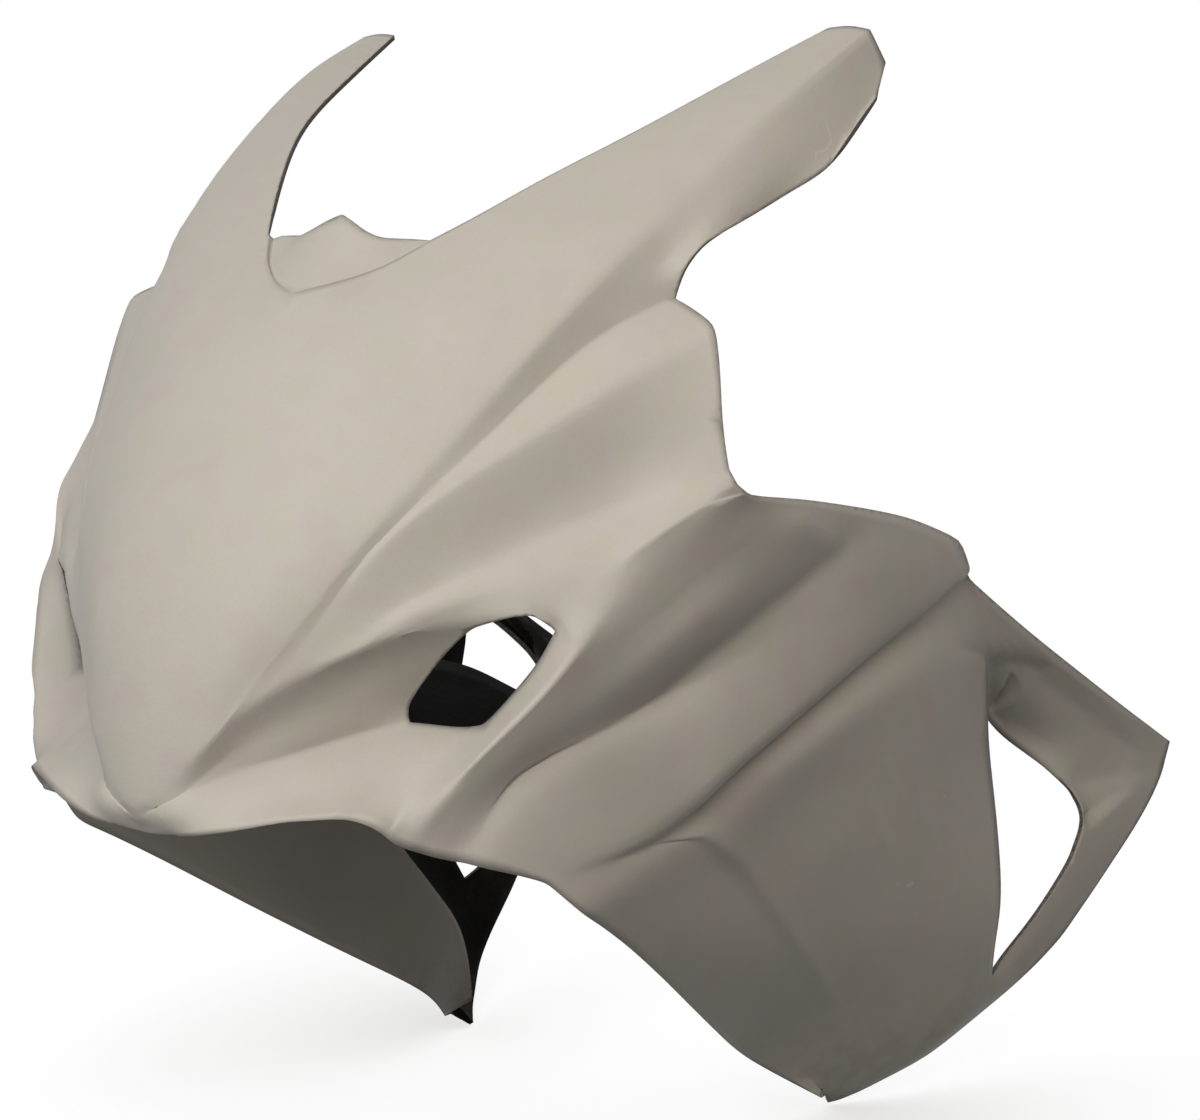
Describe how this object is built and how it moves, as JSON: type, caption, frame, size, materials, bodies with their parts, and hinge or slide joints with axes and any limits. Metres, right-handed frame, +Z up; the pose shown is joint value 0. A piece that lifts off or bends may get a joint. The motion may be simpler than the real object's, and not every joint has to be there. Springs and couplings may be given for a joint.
{
  "type": "motorcycle upper fairing",
  "caption": "One-piece moulded upper fairing with a beaked hood, screen arms, twin ram-air ducts, creased side panels, vented rear wings and a chin arch.",
  "frame": {"origin": "middle of the bounding box's base: on the centre plane, level with the side panels' lowest tips", "axes": "+Z up as mounted on a level motorcycle, -Y forward towards the beak, +X to one side; the two sides are mirror images"},
  "size_m": [0.506, 0.805, 0.7075],
  "materials": {
    "primed_laminate": "matt primer over glass-fibre laminate"
  },
  "bodies": {
    "root": {"fairing_shell": "primed_laminate"}
  },
  "joints": []
}
